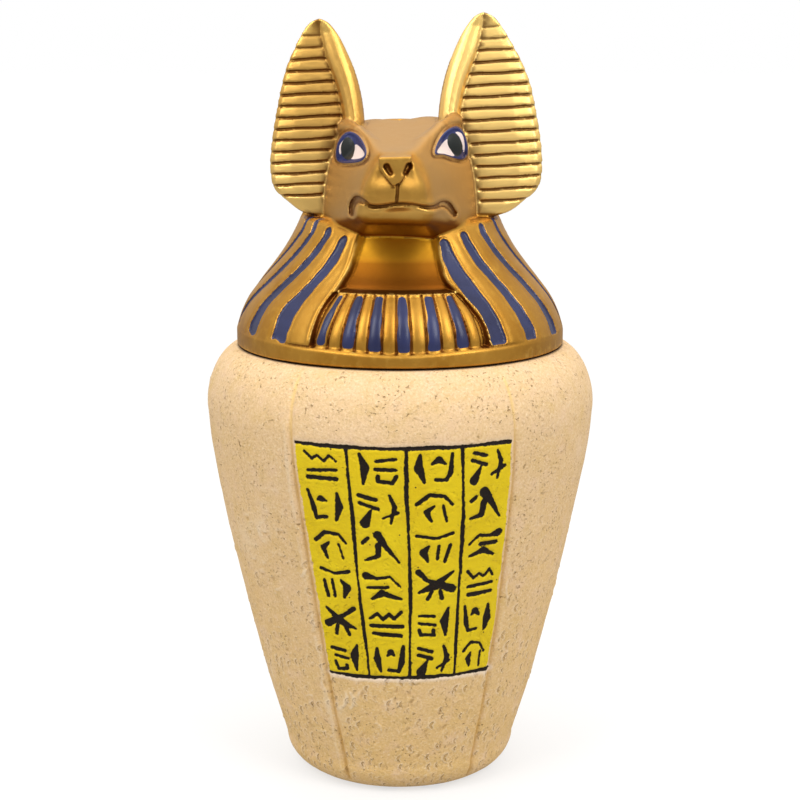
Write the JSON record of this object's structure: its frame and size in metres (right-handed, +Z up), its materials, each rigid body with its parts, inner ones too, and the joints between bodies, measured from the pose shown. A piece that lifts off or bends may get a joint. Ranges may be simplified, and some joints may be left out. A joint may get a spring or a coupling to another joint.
{
  "type": "canopic jar",
  "caption": "Tapering round-shouldered canopic jar with a written front panel and a lift-off lid shaped as a jackal head in a striped headcloth.",
  "frame": {"origin": "centre of the flat underside of the jar", "axes": "+Z up along the jar's axis; the jackal's face and the written panel look towards -Y; +X is at the right of someone who faces the panel"},
  "size_m": [0.1154, 0.1153, 0.227],
  "materials": {
    "jar_resin": "cast resin painted as pitted cream sandstone, with a yellow panel and black strokes in front",
    "lid_gold": "cast resin with satin antique gold paint, brown wash in the hollows and dark blue stripes"
  },
  "bodies": {
    "root": {"jar": "jar_resin", "lid": "lid_gold"}
  },
  "joints": []
}
